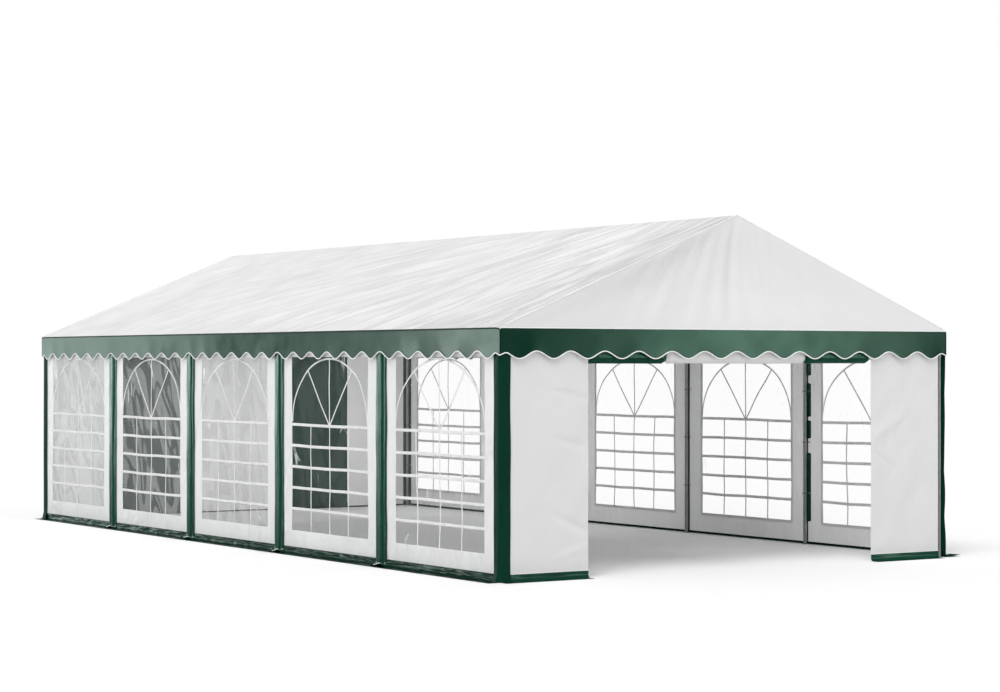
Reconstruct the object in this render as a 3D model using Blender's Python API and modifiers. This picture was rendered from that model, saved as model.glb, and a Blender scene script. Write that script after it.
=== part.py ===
"""Marquee tent, 5 m by 10 m, with a pitched roof, window walls and a rolled-up door in the front gable.

Metres, +Z up, origin on the ground under the middle of the tent. The open gable faces -Y and the
long sides face -X (left) and +X (right). Bays and posts are counted from the front.
"""
import math

import bmesh
import bpy
from mathutils import Euler, Matrix, Vector

# Driving dimensions: the whole tent, measured over the outer faces of the walls
WIDTH = 5.0
LENGTH = 10.0
BAYS = 5
RIDGE_HEIGHT = 3.173
EAVE_HEIGHT = 2.151
ROOF_OVERHANG = 0.025

# Cloth thicknesses, and the gap that touching pieces keep
ROOF_CLOTH = 0.004
WALL_CLOTH = 0.004
TRIM_CLOTH = 0.003
FILM = 0.0015
GAP = 0.0003

# Frame of steel tube
TUBE_RADIUS = 0.019
RAFTER_RADIUS = 0.018
TUBE_SIDES = 16
FOOT_RADIUS = 0.0245
FOOT_HEIGHT = 0.006
GABLE_BAR_DROP = 0.026

# Walls and their windows
WALL_FOOT = 0.02
WALL_TOP = 2.10
PANEL_JOINT = 0.045
DOOR_JOINT = 0.004
CORNER_MARGIN = 0.060
WINDOW_MARGIN = 0.255
WINDOW_SILL = 0.23
WINDOW_HEAD = 1.905
FILM_LAP = 0.04
CUTTER_DEPTH = 0.1

# Gable ends: a fixed part beside each corner and a door of three widths of cloth between them
GABLE_PART = 0.90
DOOR_SIDE_WIDTH = 0.80
DOOR_ROLL_RADIUS = 0.060
DOOR_ROLL_BOTTOM = 1.838
DOOR_ROLL_SIDES = 24

# Valance with a scalloped hem
HEM_LOW = 1.887
HEM_HIGH = 1.952
SCALLOPS_ON_GABLE = 14
SCALLOPS_ON_SIDE = 30
POINTS_PER_SCALLOP = 8

# Green strips over the posts and corners, and the flap that turns out onto the ground
POST_STRIP_WIDTH = 0.19
CORNER_STRIP_WIDTH = 0.10
STRIP_TOP = 2.08
FREE_STRIP_REACH = 0.017
FLAP_TOP = 0.062
FLAP_BEND = 0.030
FLAP_REACH = 0.12
FLAP_BEND_STEPS = 4

# Sizes that follow from those above
BAY = LENGTH / BAYS
HALF_WIDTH = WIDTH / 2
HALF_LENGTH = LENGTH / 2
ROOF_HALF_WIDTH = HALF_WIDTH + ROOF_OVERHANG
ROOF_HALF_LENGTH = HALF_LENGTH + ROOF_OVERHANG
SLOPE = math.atan2(RIDGE_HEIGHT - EAVE_HEIGHT, ROOF_HALF_WIDTH)
ROOF_DEPTH = ROOF_CLOTH / math.cos(SLOPE)
VALANCE_TOP = EAVE_HEIGHT - ROOF_DEPTH - GAP
BAR_INSET = WALL_CLOTH + GAP + TUBE_RADIUS
POST_INSET = BAR_INSET + FILM + GAP
POST_X = HALF_WIDTH - POST_INSET
CORNER_POST_Y = HALF_LENGTH - POST_INSET
TUBE_UNDER_ROOF = (ROOF_CLOTH + GAP + TUBE_RADIUS) / math.cos(SLOPE)
DOOR_HALF_WIDTH = HALF_WIDTH - GABLE_PART

# Each face of the tent: the turn about Z and the middle of its foot, seen as (along, outward, up)
FACES = {
    "left": (math.radians(90.0), Vector((-HALF_WIDTH, 0.0, 0.0))),
    "right": (math.radians(-90.0), Vector((HALF_WIDTH, 0.0, 0.0))),
    "front": (math.radians(180.0), Vector((0.0, -HALF_LENGTH, 0.0))),
    "back": (0.0, Vector((0.0, HALF_LENGTH, 0.0))),
}


def clear_scene():
    """Remove every object, so that the tent stands alone."""
    for item in list(bpy.data.objects):
        bpy.data.objects.remove(item, do_unlink=True)


def make_collection(name):
    """A collection under the scene, made once."""
    collection = bpy.data.collections.new(name)
    bpy.context.scene.collection.children.link(collection)
    return collection


def make_material(name, colour, roughness, metallic=0.0, alpha=1.0, transmission=0.0):
    """One Principled finish."""
    material = bpy.data.materials.new(name)
    material.use_nodes = True
    shader = material.node_tree.nodes["Principled BSDF"]
    shader.inputs["Base Color"].default_value = (*colour, 1.0)
    shader.inputs["Roughness"].default_value = roughness
    shader.inputs["Metallic"].default_value = metallic
    shader.inputs["Alpha"].default_value = alpha
    shader.inputs["Transmission Weight"].default_value = transmission
    material.diffuse_color = (*colour, alpha)
    return material


def file_under(item, name, collection, material=None):
    """Name an object, move it to its collection and give it its finish."""
    item.name = name
    item.data.name = name
    for old in list(item.users_collection):
        old.objects.unlink(item)
    collection.objects.link(item)
    if material:
        item.data.materials.append(material)
    return item


def as_helper(item):
    """Keep a shape that only cuts or joins out of the model."""
    item.hide_render = True
    item.display_type = "WIRE"


def roof_top_at(distance):
    """Height of the roof's upper face at a distance from the ridge, measured across."""
    return RIDGE_HEIGHT - math.tan(SLOPE) * distance


def tube_axis_at(distance):
    """Height of the axis of a tube that lies under the roof cloth."""
    return roof_top_at(distance) - TUBE_UNDER_ROOF


def add_box(name, low, high, collection, material=None):
    """A box between two corners, with its size in its mesh."""
    low = Vector(low)
    high = Vector(high)
    bpy.ops.mesh.primitive_cube_add(size=1.0, location=(low + high) / 2)
    box = bpy.context.object
    box.data.transform(Matrix.Diagonal((*(high - low), 1.0)))
    return file_under(box, name, collection, material)


def add_slab(name, face, along, outward, up, collection, material=None):
    """A box on one face of the tent, given as (low, high) pairs along it, outward from it and up."""
    turn, foot = FACES[face]
    corners = list(zip(along, outward, up))
    slab = add_box(name, corners[0], corners[1], collection, material)
    slab.location = foot + Matrix.Rotation(turn, 3, "Z") @ slab.location
    slab.rotation_euler = Euler((0.0, 0.0, turn))
    return slab


def add_tube(name, start, end, collection, material=None, radius=TUBE_RADIUS):
    """A round tube with closed ends between two points."""
    start = Vector(start)
    end = Vector(end)
    bpy.ops.mesh.primitive_cylinder_add(
        vertices=TUBE_SIDES,
        radius=radius,
        depth=(end - start).length,
        location=(start + end) / 2,
    )
    tube = bpy.context.object
    tube.rotation_euler = (end - start).to_track_quat("Z", "Y").to_euler()
    tube.data.shade_smooth()
    tube.data.set_sharp_from_angle(angle=math.radians(40.0))
    return file_under(tube, name, collection, material)


def combine(target, helper, operation):
    """Join a helper to a piece, or cut the piece with it."""
    as_helper(helper)
    step = target.modifiers.new(helper.name, "BOOLEAN")
    step.operation = operation
    step.solver = "EXACT"
    step.object = helper


def add_outline(name, points, thickness, collection, material, rotation, location):
    """A flat closed outline with a thickness, as a filled 2D curve."""
    curve = bpy.data.curves.new(name, "CURVE")
    curve.dimensions = "2D"
    curve.fill_mode = "BOTH"
    curve.extrude = thickness / 2
    spline = curve.splines.new("POLY")
    spline.points.add(len(points) - 1)
    for point, (across, up) in zip(spline.points, points):
        point.co = (across, up, 0.0, 1.0)
    spline.use_cyclic_u = True
    item = bpy.data.objects.new(name, curve)
    item.rotation_euler = Euler(rotation)
    item.location = location
    collection.objects.link(item)
    curve.materials.append(material)
    return item


def post_places():
    """Where each post stands along the tent, from the front."""
    places = [-HALF_LENGTH + BAY * count for count in range(BAYS + 1)]
    places[0] = -CORNER_POST_Y
    places[-1] = CORNER_POST_Y
    return places


def add_posts(parts, helpers, steel):
    """Twelve posts from the ground to the eave tubes, each on a round foot."""
    top = tube_axis_at(POST_X) - TUBE_RADIUS - GAP
    for side, sign in (("left", -1.0), ("right", 1.0)):
        for count, y in enumerate(post_places(), start=1):
            x = sign * POST_X
            post = add_tube(
                f"post_{side}_{count}", (x, y, FOOT_HEIGHT / 2), (x, y, top), parts, steel
            )
            foot = add_tube(
                f"foot_{side}_{count}", (x, y, 0.0), (x, y, FOOT_HEIGHT), helpers, radius=FOOT_RADIUS
            )
            combine(post, foot, "UNION")


def add_roof_frames(parts, helpers, steel):
    """On each side the eave tube with the six rafters that rise from it, and the ridge tube."""
    ridge_z = tube_axis_at(0.0)
    add_tube("ridge_tube", (0.0, -CORNER_POST_Y, ridge_z), (0.0, CORNER_POST_Y, ridge_z), parts, steel)
    clear_of_ridge = (TUBE_RADIUS + GAP) * math.cos(SLOPE)
    end_y = CORNER_POST_Y + TUBE_RADIUS
    for side, sign in (("left", -1.0), ("right", 1.0)):
        eave_z = tube_axis_at(POST_X)
        eave_x = sign * POST_X
        frame = add_tube(
            f"roof_frame_{side}", (eave_x, -end_y, eave_z), (eave_x, end_y, eave_z), parts, steel
        )
        for count, y in enumerate(post_places(), start=1):
            rafter = add_tube(
                f"rafter_{side}_{count}",
                (eave_x, y, eave_z),
                (sign * clear_of_ridge, y, tube_axis_at(clear_of_ridge)),
                helpers,
                radius=RAFTER_RADIUS,
            )
            combine(frame, rafter, "UNION")


def add_gable_bars(parts, steel):
    """A level tube between the corner posts at each end, which the gable cloths hang from."""
    z = tube_axis_at(POST_X) - TUBE_RADIUS - GABLE_BAR_DROP
    x = POST_X - TUBE_RADIUS - GAP
    for end, sign in (("front", -1.0), ("back", 1.0)):
        y = sign * (HALF_LENGTH - BAR_INSET)
        add_tube(f"gable_bar_{end}", (-x, y, z), (x, y, z), parts, steel)


def add_roof(parts, cloth):
    """Two roof slopes that meet at the ridge, and the upright triangle at each end."""
    for side, sign in (("left", -1.0), ("right", 1.0)):
        outline = [
            (sign * GAP / 2, roof_top_at(GAP / 2)),
            (sign * ROOF_HALF_WIDTH, EAVE_HEIGHT),
            (sign * ROOF_HALF_WIDTH, EAVE_HEIGHT - ROOF_DEPTH),
            (sign * GAP / 2, roof_top_at(GAP / 2) - ROOF_DEPTH),
        ]
        add_outline(
            f"roof_sheet_{side}", outline, 2 * ROOF_HALF_LENGTH, parts, cloth,
            (math.radians(90.0), 0.0, 0.0), (0.0, 0.0, 0.0),
        )
    base = VALANCE_TOP + GAP
    apex = RIDGE_HEIGHT - ROOF_DEPTH - GAP
    half_base = (apex - base) / math.tan(SLOPE)
    for end, sign in (("front", -1.0), ("back", 1.0)):
        add_outline(
            f"gable_sheet_{end}", [(-half_base, base), (half_base, base), (0.0, apex)], ROOF_CLOTH,
            parts, cloth, (math.radians(90.0), 0.0, 0.0),
            (0.0, sign * (ROOF_HALF_LENGTH - ROOF_CLOTH / 2), 0.0),
        )


def hem_height(place, run, scallops):
    """Height of the scalloped hem at a place between 0 and run."""
    middle = (HEM_LOW + HEM_HIGH) / 2
    swing = (HEM_HIGH - HEM_LOW) / 2
    return middle + swing * math.cos(2 * math.pi * scallops * place / run)


def add_valances(parts, green):
    """The hanging green edge of the roof on all four sides."""
    side_run = 2 * (ROOF_HALF_LENGTH - ROOF_CLOTH - GAP)
    gable_run = 2 * ROOF_HALF_WIDTH
    runs = {
        "left": (side_run, SCALLOPS_ON_SIDE),
        "right": (side_run, SCALLOPS_ON_SIDE),
        "front": (gable_run, SCALLOPS_ON_GABLE),
        "back": (gable_run, SCALLOPS_ON_GABLE),
    }
    for face, (run, scallops) in runs.items():
        turn, foot = FACES[face]
        steps = scallops * POINTS_PER_SCALLOP
        hem = [
            (run * count / steps - run / 2, hem_height(run * count / steps, run, scallops))
            for count in range(steps + 1)
        ]
        outline = hem + [(run / 2, VALANCE_TOP), (-run / 2, VALANCE_TOP)]
        outward = Matrix.Rotation(turn, 3, "Z") @ Vector((0.0, ROOF_OVERHANG - ROOF_CLOTH / 2, 0.0))
        add_outline(
            f"valance_{face}", outline, ROOF_CLOTH, parts, green,
            (math.radians(90.0), 0.0, turn), foot + outward,
        )


def add_side_walls(parts, helpers, cloth, film):
    """Five window panels on each long side, and the clear film behind the windows."""
    for face in ("left", "right"):
        for count in range(1, BAYS + 1):
            # On the right face the run is counted from the far end, so bays are numbered from it.
            bay = count - 1 if face == "left" else BAYS - count
            low = -HALF_LENGTH + BAY * bay
            start = max(low + PANEL_JOINT / 2, -HALF_LENGTH + CORNER_MARGIN)
            end = min(low + BAY - PANEL_JOINT / 2, HALF_LENGTH - CORNER_MARGIN)
            panel = add_slab(
                f"side_wall_{face}_{count}", face, (start, end), (-WALL_CLOTH, 0.0),
                (WALL_FOOT, WALL_TOP), parts, cloth,
            )
            window = add_slab(
                f"window_cut_{face}_{count}", face,
                (low + WINDOW_MARGIN, low + BAY - WINDOW_MARGIN),
                (-CUTTER_DEPTH, CUTTER_DEPTH), (WINDOW_SILL, WINDOW_HEAD), helpers,
            )
            combine(panel, window, "DIFFERENCE")
        film_half = HALF_LENGTH - WINDOW_MARGIN + FILM_LAP
        film_out = -WALL_CLOTH - GAP
        add_slab(
            f"window_film_{face}", face, (-film_half, film_half), (film_out - FILM, film_out),
            (WINDOW_SILL - FILM_LAP, WINDOW_HEAD + FILM_LAP), parts, film,
        )


def add_gable_walls(parts, helpers, cloth, green):
    """The fixed part beside each corner, the closed door at the back and the rolled one in front."""
    for face, left_sign in (("front", 1.0), ("back", -1.0)):
        for side, sign in (("left", left_sign), ("right", -left_sign)):
            ends = sorted((
                sign * (DOOR_HALF_WIDTH + DOOR_JOINT / 2), sign * (HALF_WIDTH - CORNER_MARGIN)
            ))
            add_slab(
                f"{face}_wall_{side}", face, ends, (-WALL_CLOTH, 0.0), (WALL_FOOT, WALL_TOP), parts, cloth
            )
    middle = DOOR_HALF_WIDTH - DOOR_SIDE_WIDTH
    widths = {
        "right": (-DOOR_HALF_WIDTH + DOOR_JOINT / 2, -middle - GAP / 2, green),
        "middle": (-middle + GAP / 2, middle - GAP / 2, cloth),
        "left": (middle + GAP / 2, DOOR_HALF_WIDTH - DOOR_JOINT / 2, green),
    }
    for name, (low, high, finish) in widths.items():
        add_slab(
            f"back_door_{name}", "back", (low, high), (-WALL_CLOTH, 0.0), (WALL_FOOT, WALL_TOP),
            parts, finish,
        )
    half = DOOR_HALF_WIDTH - DOOR_JOINT / 2
    roll_z = DOOR_ROLL_BOTTOM + DOOR_ROLL_RADIUS
    head = add_slab(
        "front_door_rolled", "front", (-half, half), (-WALL_CLOTH, 0.0), (roll_z, WALL_TOP), parts, green
    )
    bpy.ops.mesh.primitive_cylinder_add(
        vertices=DOOR_ROLL_SIDES,
        radius=DOOR_ROLL_RADIUS,
        depth=2 * half,
        location=(0.0, -HALF_LENGTH + DOOR_ROLL_RADIUS, roll_z),
        rotation=(0.0, math.radians(90.0), 0.0),
    )
    roll = file_under(bpy.context.object, "door_roll", helpers)
    combine(head, roll, "UNION")


def flap_profile():
    """Middle line of strip and flap as (outward, up): down the wall, round the bend, out on the ground."""
    half = TRIM_CLOTH / 2
    near = GAP + half
    points = [(near, STRIP_TOP), (near, FLAP_TOP)]
    for step in range(FLAP_BEND_STEPS + 1):
        angle = math.pi + math.pi / 2 * step / FLAP_BEND_STEPS
        points.append((
            near + FLAP_BEND + FLAP_BEND * math.cos(angle),
            half + FLAP_BEND + FLAP_BEND * math.sin(angle),
        ))
    points.append((FLAP_REACH, half))
    return points


def sweep(profile, stations):
    """An open sheet: a line of (outward, up) points drawn along the wall through the stations."""
    mesh = bmesh.new()
    line = [mesh.verts.new((stations[0], outward, up)) for outward, up in profile]
    edges = [mesh.edges.new(pair) for pair in zip(line, line[1:])]
    for before, after in zip(stations, stations[1:]):
        grown = bmesh.ops.extrude_edge_only(mesh, edges=edges)["geom"]
        moved = [part for part in grown if isinstance(part, bmesh.types.BMVert)]
        bmesh.ops.translate(mesh, verts=moved, vec=(after - before, 0.0, 0.0))
        fresh = set(moved)
        edges = [
            part for part in grown
            if isinstance(part, bmesh.types.BMEdge) and fresh.issuperset(part.verts)
        ]
    return mesh


def add_trim(name, face, run, strips, parts, green):
    """Green cloth on one face: a ground flap over the run, with upright strips at the given spans."""
    stations = sorted({*run, *(edge for strip in strips for edge in strip)})
    mesh = sweep(flap_profile(), stations)
    bare = []
    for panel in mesh.faces:
        middle = panel.calc_center_median()
        in_strip = any(low < middle.x < high for low, high in strips)
        if middle.z > FLAP_TOP and not in_strip:
            bare.append(panel)
    bmesh.ops.delete(mesh, geom=bare, context="FACES")
    data = bpy.data.meshes.new(name)
    mesh.to_mesh(data)
    mesh.free()
    trim = bpy.data.objects.new(name, data)
    turn, foot = FACES[face]
    trim.location = foot
    trim.rotation_euler = Euler((0.0, 0.0, turn))
    parts.objects.link(trim)
    data.materials.append(green)
    shell = trim.modifiers.new("cloth thickness", "SOLIDIFY")
    shell.thickness = TRIM_CLOTH
    shell.offset = 0.0
    shell.use_even_offset = True


def add_trims(parts, green):
    """Green strips and ground flaps on all four faces.

    The doorway stays free. The right front corner's strip isn't wrapped round to the front: it hangs
    on the right side and stands a little proud of the corner.
    """
    half = POST_STRIP_WIDTH / 2
    corner = HALF_LENGTH - CORNER_STRIP_WIDTH
    inner_posts = [-HALF_LENGTH + BAY * count for count in range(1, BAYS)]
    side_strips = [(place - half, place + half) for place in inner_posts]
    runs = {
        "left": (-HALF_LENGTH, HALF_LENGTH),
        "right": (-HALF_LENGTH, HALF_LENGTH + FREE_STRIP_REACH),
    }
    for face, run in runs.items():
        corner_strips = [(run[0], -corner), (corner, run[1])]
        add_trim(f"green_trim_{face}", face, run, side_strips + corner_strips, parts, green)
    reach = HALF_WIDTH + GAP + TRIM_CLOTH
    inner = HALF_WIDTH - CORNER_STRIP_WIDTH
    low_strip = (-reach, -inner)
    high_strip = (inner, reach)
    panel_end = HALF_WIDTH - CORNER_MARGIN
    add_trim("green_trim_front_right", "front", (-panel_end, -DOOR_HALF_WIDTH), [], parts, green)
    add_trim("green_trim_front_left", "front", (DOOR_HALF_WIDTH, reach), [high_strip], parts, green)
    add_trim("green_trim_back", "back", (-reach, reach), [low_strip, high_strip], parts, green)


def main():
    """Build the tent."""
    clear_scene()
    parts = make_collection("marquee_tent")
    helpers = make_collection("helpers")
    steel = make_material("zinc_steel", (0.56, 0.57, 0.58), 0.35, metallic=1.0)
    white = make_material("white_cloth", (0.82, 0.83, 0.83), 0.55)
    green = make_material("green_cloth", (0.010, 0.075, 0.045), 0.40)
    film = make_material("clear_film", (0.90, 0.93, 0.94), 0.08, alpha=0.35, transmission=0.9)
    add_posts(parts, helpers, steel)
    add_roof_frames(parts, helpers, steel)
    add_gable_bars(parts, steel)
    add_roof(parts, white)
    add_valances(parts, green)
    add_side_walls(parts, helpers, white, film)
    add_gable_walls(parts, helpers, white, green)
    add_trims(parts, green)


main()
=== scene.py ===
import math

import bpy
from bpy.props import FloatProperty, FloatVectorProperty, PointerProperty
from mathutils import Euler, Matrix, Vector, noise


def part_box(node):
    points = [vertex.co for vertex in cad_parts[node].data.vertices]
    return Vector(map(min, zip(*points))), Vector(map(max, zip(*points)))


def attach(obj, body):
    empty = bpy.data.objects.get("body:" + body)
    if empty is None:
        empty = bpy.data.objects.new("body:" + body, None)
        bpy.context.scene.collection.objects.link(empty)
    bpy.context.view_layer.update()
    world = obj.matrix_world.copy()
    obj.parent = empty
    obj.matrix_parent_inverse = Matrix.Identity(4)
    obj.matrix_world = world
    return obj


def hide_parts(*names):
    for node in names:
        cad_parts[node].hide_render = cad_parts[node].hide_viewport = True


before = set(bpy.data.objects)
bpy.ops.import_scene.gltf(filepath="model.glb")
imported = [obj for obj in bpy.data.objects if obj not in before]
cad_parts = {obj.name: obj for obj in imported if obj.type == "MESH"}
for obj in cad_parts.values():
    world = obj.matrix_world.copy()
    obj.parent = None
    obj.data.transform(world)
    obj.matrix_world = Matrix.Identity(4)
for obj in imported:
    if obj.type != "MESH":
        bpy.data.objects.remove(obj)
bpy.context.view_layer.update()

bl_info = {
    "name": "Marquee tent",
    "version": (1, 0, 0),
    "blender": (4, 5, 0),
    "location": "3D View > Sidebar > Marquee",
    "description": "Cloth, windows, trims and studio of a 5 m by 10 m marquee tent",
    "category": "Object",
}

# Sizes of the frame, in metres
HALF_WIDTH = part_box("side_wall_right_1")[1].x
HALF_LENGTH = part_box("back_wall_right")[1].y
BAYS = 5
BAY = 2 * HALF_LENGTH / BAYS
ROOF_HALF_WIDTH, ROOF_HALF_LENGTH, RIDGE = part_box("roof_sheet_right")[1]
EAVE = 2.151
SLOPE = math.atan2(RIDGE - EAVE, ROOF_HALF_WIDTH)
ROOF_SLOPE_LENGTH = ROOF_HALF_WIDTH / math.cos(SLOPE)
OVERHANG = ROOF_HALF_WIDTH - HALF_WIDTH
TUBE_RADIUS = 0.019
POST_INSET = 0.0251
POST_X = HALF_WIDTH - POST_INSET
POST_Y = HALF_LENGTH - POST_INSET
WALL_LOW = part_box("side_wall_left_1")[0].z
WALL_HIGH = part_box("side_wall_left_1")[1].z
VALANCE_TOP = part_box("valance_left")[1].z
DOOR_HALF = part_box("front_wall_right")[0].x
PANEL_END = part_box("front_wall_right")[1].x

# Sizes of the cloths and what is sewn or tied to them, in metres
CLOTH_THICKNESS = 0.0012
ROLLED_THICKNESS = 0.0008
VALANCE_ROUNDING = 0.016
HEM_LOW = 1.887
HEM_HIGH = 1.952
WALL_EDGE = 0.08
WINDOW_MARGIN = 0.255
WINDOW_LOW = 0.23
WINDOW_HIGH = 1.905
LEVEL_BARS = 5
BAR_THICKNESS = 0.0012
FILM_LAP = 0.03
STRIP_TOP = 2.08
STRIP_STRAIGHT = 1.98
FOOT_BEND = 0.035
FLAP_TOP = 0.066
FLAP_BEND = 0.026
TIE_HEIGHTS = (0.52, 1.04, 1.56)

# Lower edge of the window walls, under which the flap shows dark inside
WALL_HEM = WALL_LOW + 0.008

# Largest faces of the cloths' meshes, on plain cloth and where it needs more
CLOTH_STEP = 0.04
FINE_STEP = 0.02

# The camera that the photograph's view was fitted with
CAMERA_PLACE = (-13.606, -22.291, 1.866)
CAMERA_TURN = math.radians(-32.70)
CAMERA_LENS = 87.98
CAMERA_SHIFT = 0.0151

# A point of each face, from its run along the wall, its distance outward and its height
FACES = {
    "left": lambda along, outward, up: (-HALF_WIDTH - outward, along, up),
    "right": lambda along, outward, up: (HALF_WIDTH + outward, -along, up),
    "front": lambda along, outward, up: (-along, -HALF_LENGTH - outward, up),
    "back": lambda along, outward, up: (along, HALF_LENGTH + outward, up),
}
LONG_SIDES = ("left", "right")
SEAM_COLOURS = {"left": "green", "right": "green", "front": "white", "back": "white"}


def post_places(face):
    """Where the posts stand along a face."""
    if face in LONG_SIDES:
        inner = [-HALF_LENGTH + BAY * count for count in range(1, BAYS)]
        return [-POST_Y, *inner, POST_Y]
    return [-POST_X, POST_X]


def wobble(a, b, seed):
    """Smooth noise between about -1 and 1 at a place on a cloth."""
    return noise.noise(Vector((a, b, seed)))


def fade(value, low, high):
    """0 below low, 1 above high and a smooth step between them."""
    share = min(1.0, max(0.0, (value - low) / (high - low)))
    return share * share * (3.0 - 2.0 * share)


def bump(value, middle, width):
    """A smooth bump of height 1 at its middle."""
    return math.exp(-((value - middle) / width) ** 2)


def lines(marks, size):
    """Even lines between each mark and the next, at most one size apart."""
    found = [marks[0]]
    for low, high in zip(marks, marks[1:]):
        count = max(1, math.ceil((high - low) / size - 1e-6))
        found += [low + (high - low) * step / count for step in range(1, count + 1)]
    return found


# Meshes and pieces

def add_object(name, data):
    """A new object in the scene."""
    item = bpy.data.objects.new(name, data)
    bpy.context.scene.collection.objects.link(item)
    return item


def add_piece(name, mesh, finish, replaces=(), thickness=0.0):
    """A piece that rides on the tent, with its finish and the frame pieces it stands for."""
    piece = add_object(name, mesh)
    mesh.materials.clear()
    mesh.materials.append(finish)
    if thickness:
        shell = piece.modifiers.new("cloth thickness", "SOLIDIFY")
        shell.thickness = thickness
        shell.offset = 0.0
        # The faces' sizes weigh in, so the thin rim doesn't turn the shading at the cloth's edge
        piece.modifiers.new("even shading", "WEIGHTED_NORMAL").mode = "FACE_AREA"
    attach(piece, "root")
    if replaces:
        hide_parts(*replaces)
    return piece


def hanging_folds(along, up):
    """Fold coordinates of a cloth that hangs: along each fold, then across the folds, in metres."""
    return (up + 0.25 * along, along + 0.12 * up)


def add_cloth(
    name, columns, rows, place, finish, replaces=(), hole=None, thickness=CLOTH_THICKNESS,
    folds=hanging_folds, turned=False,
):
    """A sheet of cloth. place() gives the point of each column and row, and the hole stays open.

    The map "cloth" holds the place on the flat cloth and the map "folds" the place among its folds,
    both in metres. A turned cloth faces the other way.
    """
    kept, points, spans, quads = {}, [], [], []

    def corner(column, row):
        if (column, row) not in kept:
            kept[column, row] = len(points)
            spans.append((columns[column], rows[row]))
            points.append(place(*spans[-1]))
        return kept[column, row]

    for row in range(len(rows) - 1):
        up = (rows[row] + rows[row + 1]) / 2
        for column in range(len(columns) - 1):
            along = (columns[column] + columns[column + 1]) / 2
            if hole and hole[0] < along < hole[1] and hole[2] < up < hole[3]:
                continue
            quads.append((
                corner(column, row), corner(column, row + 1),
                corner(column + 1, row + 1), corner(column + 1, row),
            ))
    mesh = bpy.data.meshes.new(name)
    mesh.from_pydata(points, [], quads)
    mesh.shade_smooth()
    for label, found in (("cloth", spans), ("folds", [folds(*span) for span in spans])):
        layer = mesh.uv_layers.new(name=label)
        layer.data.foreach_set("uv", [value for quad in quads for index in quad for value in found[index]])
    if turned:
        mesh.flip_normals()
    return add_piece(name, mesh, finish, replaces, thickness)


def line_mesh(name, paths):
    """A mesh of edges only, one chain for each path."""
    points, edges = [], []
    for path in paths:
        start = len(points)
        points += path
        edges += [(index, index + 1) for index in range(start, start + len(path) - 1)]
    mesh = bpy.data.meshes.new(name)
    mesh.from_pydata(points, edges, [])
    return mesh


def grow(name, paths, tree, values):
    """Run a Geometry Nodes tree on lines and return the result as a plain mesh."""
    holder = add_object(name, line_mesh(name, paths))
    step = holder.modifiers.new("nodes", "NODES")
    step.node_group = tree
    for item in tree.interface.items_tree:
        if item.in_out == "INPUT" and item.name in values:
            step[item.identifier] = values[item.name]
    graph = bpy.context.evaluated_depsgraph_get()
    grown = bpy.data.meshes.new_from_object(holder.evaluated_get(graph))
    bpy.data.objects.remove(holder)
    grown.name = name
    return grown


def add_cord(name, finish, radius, paths, sides=6):
    """A round cord along each path, as one piece."""
    mesh = grow(name, paths, cord_tree(), {"Radius": radius, "Sides": sides, "Material": finish})
    return add_piece(name, mesh, finish)


# Node trees

def once(name):
    """Build the node tree of this name at the first call, and find it at each later one."""
    def wrap(build):
        return lambda: bpy.data.node_groups.get(name) or build(name)
    return wrap


def new_tree(name, kind, inputs, outputs):
    """An empty node tree with named sockets: the tree, the sockets it is given and the node that ends it.

    An input is its name and its kind, and in a shader group also its value.
    """
    tree = bpy.data.node_groups.new(name, kind)
    for label, socket, *value in inputs:
        made = tree.interface.new_socket(label, in_out="INPUT", socket_type=f"NodeSocket{socket}")
        if value:
            made.default_value = value[0]
    for label, socket in outputs:
        tree.interface.new_socket(label, in_out="OUTPUT", socket_type=f"NodeSocket{socket}")
    return tree, tree.nodes.new("NodeGroupInput").outputs, tree.nodes.new("NodeGroupOutput")


def feed(tree, item, inputs):
    """Set each input of a node to its value, or link it to its socket."""
    for key, value in inputs.items():
        if isinstance(value, bpy.types.NodeSocket):
            tree.links.new(value, item.inputs[key])
        else:
            item.inputs[key].default_value = value


def add_node(tree, kind, inputs, **settings):
    """A node with its inputs and settings; returns its outputs."""
    item = tree.nodes.new(kind)
    for key, value in settings.items():
        setattr(item, key, value)
    feed(tree, item, inputs)
    return item.outputs


def calculate(tree, operation, *values, clamp=False):
    """The result of a Math node."""
    return add_node(
        tree, "ShaderNodeMath", dict(enumerate(values)), operation=operation, use_clamp=clamp,
    )[0]


def remap(tree, value, low, high, start=0.0, end=1.0, smooth=False):
    """A value that runs from low to high while the given one runs from start to end."""
    return add_node(tree, "ShaderNodeMapRange", {
        "Value": value, "From Min": start, "From Max": end, "To Min": low, "To Max": high,
    }, interpolation_type="SMOOTHSTEP" if smooth else "LINEAR")[0]


def mix(tree, factor, first, second):
    """A blend of two colours, each a socket or three numbers."""
    ends = {
        key: value if isinstance(value, bpy.types.NodeSocket) else (*value, 1.0)
        for key, value in (("A", first), ("B", second))
    }
    return add_node(tree, "ShaderNodeMix", {"Factor": factor, **ends}, data_type="RGBA")["Result"]


def add_group(tree, group, **inputs):
    """A shader node group placed in a material with its own values; returns its outputs."""
    return add_node(tree, "ShaderNodeGroup", inputs, node_tree=group)


def geometry_tree(name, inputs):
    """An empty Geometry Nodes tree that takes lines and a material besides its own inputs."""
    return new_tree(
        name, "GeometryNodeTree", [("Geometry", "Geometry"), *inputs, ("Material", "Material")],
        [("Geometry", "Geometry")],
    )


def circle(tree, resolution, radius):
    """A circle to sweep or to sweep along."""
    return add_node(tree, "GeometryNodeCurvePrimitiveCircle", {"Resolution": resolution, "Radius": radius})[0]


def sweep(tree, path, profile, caps=False):
    """A tube along a path, with its ends closed where it has caps."""
    return add_node(tree, "GeometryNodeCurveToMesh", {
        "Curve": path, "Profile Curve": profile, "Fill Caps": caps,
    })[0]


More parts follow.
